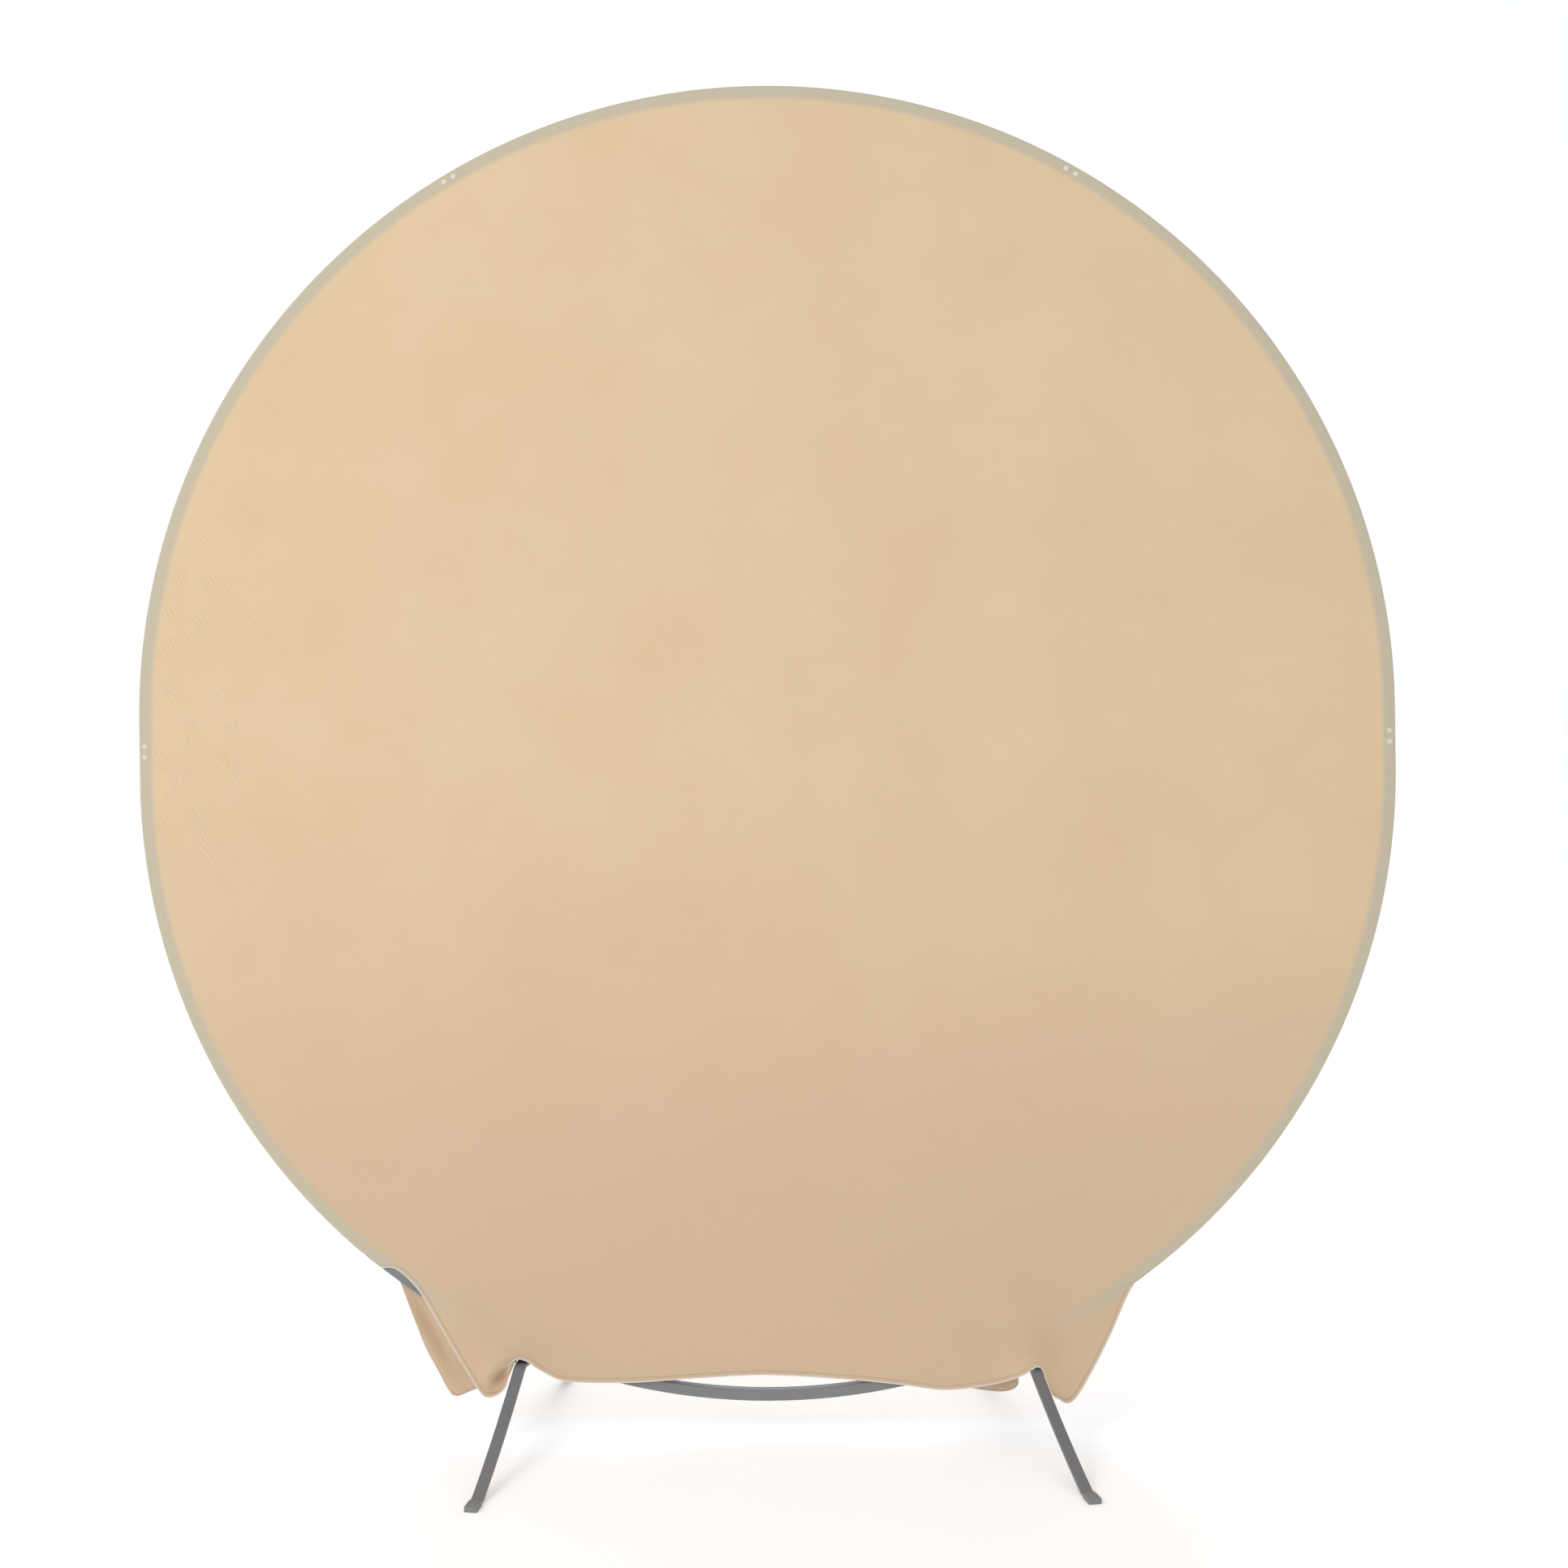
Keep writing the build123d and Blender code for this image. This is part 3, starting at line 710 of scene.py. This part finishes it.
shorter = add_node(
    tree, "ShaderNodeMath", {"operation": "MULTIPLY"}, {0: off_tube.outputs[0], 1: short.outputs["Result"]}
)
rippled = add_node(
    tree, "ShaderNodeMath", {"operation": "MULTIPLY"}, {0: shorter.outputs[0], 1: ripples.outputs["Fac"]}
)
drawn = add_node(
    tree,
    "ShaderNodeBump",
    {"Strength": 0.6, "Distance": 0.0013},
    {"Height": rippled.outputs[0], "Normal": fine.outputs["Normal"]},
)
tree.links.new(screw_show_and_highlight.outputs[2], shader.inputs["Base Color"])
tree.links.new(drawn.outputs["Normal"], shader.inputs["Normal"])
shader.inputs["Roughness"].default_value = 0.82
shader.inputs["Sheen Weight"].default_value = 0.15
shader.inputs["Sheen Roughness"].default_value = 0.4
shader.inputs["Specular IOR Level"].default_value = 0.25

# Low edge of the front panel, left to right: from the seam across the face of the tube, down the
# free side to a rounded corner, up over the left foot, along a shallow middle, over the right
# foot, and round the longer right corner back to the ring.
front_hem_points = [
    (-0.6886, -0.0101, 0.3038), (-0.667, -0.0108, 0.3035), (-0.646, -0.0115, 0.289),
    (-0.625, -0.0125, 0.267), (-0.611, -0.0135, 0.246), (-0.582, -0.017, 0.197),
    (-0.560, -0.021, 0.160), (-0.532, -0.026, 0.115), (-0.5155, -0.030, 0.090),
    (-0.5035, -0.032, 0.081), (-0.486, -0.032, 0.085), (-0.471, -0.031, 0.100),
    (-0.468, -0.027, 0.124), (-0.4615, -0.024, 0.141), (-0.449, -0.022, 0.1475),
    (-0.434, -0.021, 0.1425), (-0.411, -0.020, 0.1245), (-0.376, -0.019, 0.106),
    (-0.334, -0.018, 0.101), (-0.249, -0.015, 0.099), (-0.121, -0.012, 0.105),
    (-0.014, -0.0115, 0.108), (0.121, -0.012, 0.099), (0.220, -0.015, 0.089),
    (0.297, -0.018, 0.080), (0.374, -0.024, 0.090), (0.415, -0.028, 0.104),
    (0.439, -0.030, 0.123), (0.450, -0.031, 0.131), (0.461, -0.033, 0.125),
    (0.469, -0.036, 0.101), (0.479, -0.039, 0.076), (0.490, -0.041, 0.069),
    (0.505, -0.042, 0.061), (0.520, -0.041, 0.070), (0.545, -0.034, 0.107),
    (0.586, -0.021, 0.180), (0.6185, -0.0125, 0.240), (0.629, -0.0105, 0.258),
]
front_folds = [
    # at the left foot: a ridge dragged down from the arch, and the pocket below it
    ((-0.456, 0.160), (-0.511, 0.122), 0.015, 0.012),
    ((-0.466, 0.136), (-0.495, 0.092), -0.017, 0.010),
    # soft drags that rise from both arches
    ((-0.470, 0.180), (-0.590, 0.255), 0.003, 0.020),
    ((-0.420, 0.165), (-0.320, 0.235), 0.002, 0.026),
    ((0.440, 0.180), (0.400, 0.270), 0.003, 0.032),
    ((0.410, 0.150), (0.250, 0.160), 0.003, 0.030),
    # the right corner turns along a line from the ring to the hem
    ((0.600, 0.235), (0.530, 0.120), 0.009, 0.026),
]
front_pushes = [(-0.447, 0.148, 0.008, 0.026), (0.450, 0.128, 0.027, 0.036)]   # by each foot
front_panel = Panel(True, front_hem_points, front_folds, front_pushes, 3.1)
front_cloth = lay_panel(front_panel, "cover_front_cloth", jersey)
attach(front_cloth, "stand")
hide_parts("cover_front_panel", "cover_rim_band")

# Low edge of the back panel, as seen from the front: it hangs lower at both outer corners and has
# a rounded lobe beside the right foot.
back_hem_points = [
    (-0.660, -0.0101, 0.278), (-0.647, -0.0125, 0.240), (-0.632, -0.016, 0.196),
    (-0.6155, -0.020, 0.151), (-0.5955, -0.025, 0.110), (-0.579, -0.028, 0.076),
    (-0.5665, -0.030, 0.0635), (-0.543, -0.032, 0.070), (-0.495, -0.034, 0.091),
    (-0.468, -0.034, 0.120), (-0.453, -0.034, 0.147), (-0.434, -0.034, 0.155),
    (-0.415, -0.034, 0.147), (-0.401, -0.033, 0.122), (-0.378, -0.030, 0.104),
    (-0.300, -0.024, 0.102), (-0.150, -0.016, 0.108), (0.000, -0.0125, 0.112),
    (0.150, -0.015, 0.104), (0.270, -0.022, 0.084), (0.340, -0.028, 0.068),
    (0.390, -0.031, 0.059), (0.416, -0.032, 0.060), (0.430, -0.033, 0.069),
    (0.429, -0.033, 0.086), (0.420, -0.034, 0.106), (0.412, -0.034, 0.128),
    (0.416, -0.034, 0.146), (0.433, -0.034, 0.155), (0.450, -0.034, 0.146),
    (0.460, -0.034, 0.114), (0.471, -0.033, 0.084), (0.492, -0.031, 0.070),
    (0.512, -0.028, 0.078), (0.546, -0.024, 0.122), (0.594, -0.017, 0.196),
    (0.629, -0.0115, 0.258),
]
back_folds = [
    ((-0.640, 0.255), (-0.560, 0.105), 0.008, 0.012),
    ((-0.600, 0.240), (-0.520, 0.110), -0.005, 0.014),
    ((-0.440, 0.165), (-0.540, 0.215), 0.004, 0.016),
    ((0.440, 0.165), (0.540, 0.215), 0.004, 0.018),
    ((0.430, 0.160), (0.330, 0.200), 0.003, 0.018),
    ((0.600, 0.230), (0.520, 0.110), 0.008, 0.020),
]
back_panel = Panel(False, back_hem_points, back_folds, [], 8.7)
back_cloth = lay_panel(back_panel, "cover_back_cloth", jersey)
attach(back_cloth, "stand")
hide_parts("cover_back_panel")

# ---- Hems and rim seam -----------------------------------------------------------------------
# The open edges are overlocked in pale thread, turned up once and held by a row of stitches. The
# rim seam joins the two panels along the outside of the tube.

thread, tree, shader = new_material("pale_overlock_thread")
place = add_node(tree, "ShaderNodeTexCoord").outputs["Object"]
twist = add_node(tree, "ShaderNodeTexNoise", {"Scale": 700.0, "Detail": 2.0}, {"Vector": place})
tone = add_node(tree, "ShaderNodeValToRGB", {}, {"Fac": twist.outputs["Fac"]})
tone.color_ramp.elements[0].color = linear("d6c6b6")
tone.color_ramp.elements[1].color = linear("ebe1da")
bump = add_node(
    tree, "ShaderNodeBump", {"Strength": 0.5, "Distance": 0.0004}, {"Height": twist.outputs["Fac"]}
)
tree.links.new(tone.outputs["Color"], shader.inputs["Base Color"])
tree.links.new(bump.outputs["Normal"], shader.inputs["Normal"])
shader.inputs["Roughness"].default_value = 0.85
shader.inputs["Sheen Weight"].default_value = 0.2


def thread_roll(name, points, radius, material):
    """A round cord of thread along a line of points."""
    line = bpy.data.curves.new(name, "CURVE")
    line.dimensions = "3D"
    line.bevel_depth = radius
    line.bevel_resolution = 2
    line.use_fill_caps = True
    spline = line.splines.new("POLY")
    spline.points.add(len(points) - 1)
    for point, place in zip(spline.points, points):
        point.co = (*place, 1)
    carrier = bpy.data.objects.new(name, line)
    bpy.context.scene.collection.objects.link(carrier)
    mesh = bpy.data.meshes.new_from_object(carrier)
    bpy.data.objects.remove(carrier)
    mesh.materials.clear()
    mesh.materials.append(material)
    for polygon in mesh.polygons:
        polygon.use_smooth = True
    piece = bpy.data.objects.new(name, mesh)
    bpy.context.scene.collection.objects.link(piece)
    return piece


hem_depth = 0.006
hem_rows = 4
hem_gap = 0.0002              # from the sheet to the strip turned up on it
hem_thickness = 0.0004
shortest_column = 0.004
overlock_radius = 0.0015
overlock_out = 0.0008         # of the thread's middle, from the sheet's inner face
stitch_height = 0.0042        # of the stitches above the edge
stitch_length = 0.0034
stitch_radius = 0.0004
stitch_out = 0.0007           # of the stitches' middle, from the sheet's outer face


def above_hem(panel, i, height):
    """A point of the sheet up its column from a point of the hem, and how much tube shows there."""
    column = len(panel.wraps) + i
    edge = Vector((panel.hem[i].x, panel.hem[i].z))
    long = max((edge - panel.anchor(column)).length, shortest_column)
    point, tube_shown, _ = panel.outer_place(column, max(1 - height / long, 0.0))
    return point, tube_shown


def turned_hem(panel, name, material):
    """The doubled strip along the open edge, lying on the outside of the sheet."""
    form = bmesh.new()
    columns = len(panel.hem)
    bmesh.ops.create_grid(form, x_segments=columns - 1, y_segments=hem_rows, size=0.5)
    tube_layer = form.verts.layers.float.new("tube_behind")
    for v in form.verts:
        i = round((v.co.x + 0.5) * (columns - 1))
        row = round((v.co.y + 0.5) * hem_rows)
        point, v[tube_layer] = above_hem(panel, i, hem_depth * (hem_rows - row) / hem_rows)
        v.co = panel.place(point + Vector((0, -cloth_thickness - hem_gap, 0)))
    bmesh.ops.recalc_face_normals(form, faces=form.faces)
    form.faces.ensure_lookup_table()
    outward = -1 if panel.front else 1
    if sum(f.normal.y for f in form.faces) * outward < 0:
        bmesh.ops.reverse_faces(form, faces=form.faces)
    piece = finish_mesh(form, name, material)
    shell = piece.modifiers.new("hem_thickness", "SOLIDIFY")
    shell.thickness = hem_thickness
    shell.offset = 1.0
    return piece


def stitch_row(panel, name, material):
    """Lock stitches through the hem, one for each step of it, each a short round bead of thread."""
    form = bmesh.new()
    out = Vector((0, -cloth_thickness - stitch_out, 0))
    for i in range(1, len(panel.hem) - 2):
        here = panel.place(above_hem(panel, i, stitch_height)[0] + out)
        ahead = panel.place(above_hem(panel, i + 1, stitch_height)[0] + out)
        made = bmesh.ops.create_cone(
            form, cap_ends=True, segments=6, radius1=stitch_radius, radius2=stitch_radius, depth=stitch_length
        )
        turn = (ahead - here).to_track_quat("Z", "Y").to_matrix()
        bmesh.ops.rotate(form, verts=made["verts"], cent=(0, 0, 0), matrix=turn)
        bmesh.ops.translate(form, verts=made["verts"], vec=(here + ahead) / 2)
    return finish_mesh(form, name, material)


for panel, cloth, word in ((front_panel, front_cloth, "front"), (back_panel, back_cloth, "back")):
    hem = turned_hem(panel, f"cover_{word}_hem_turned", jersey)
    edge_points = []
    for i in range(len(panel.hem)):
        point, _, _ = panel.outer_place(len(panel.wraps) + i, 1.0)
        edge_points.append(panel.place(point + Vector((0, -overlock_out, 0))))
    overlock = thread_roll(f"cover_{word}_hem_overlock", edge_points, overlock_radius, thread)
    stitches = stitch_row(panel, f"cover_{word}_hem_stitches", thread)
    for piece in (hem, overlock, stitches):
        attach(piece, "stand")
        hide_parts(f"cover_{word}_hem")

seam_steps = 420
seam_radius = 0.0011
seam_gap = 0.0002             # from the cloth's outer face to the middle of the roll
seam_points = []
for i in range(seam_steps + 1):
    travel = front_panel.travel * i / seam_steps
    edge, outward = ring_station(travel, front_panel.right_degrees)
    place = edge + outward * (cloth_gap + cloth_thickness + seam_gap)
    seam_points.append(Vector((place.x, 0, place.y)))
rim_seam = thread_roll("cover_rim_seam_roll", seam_points, seam_radius, jersey)
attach(rim_seam, "stand")
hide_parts("cover_rim_seam")
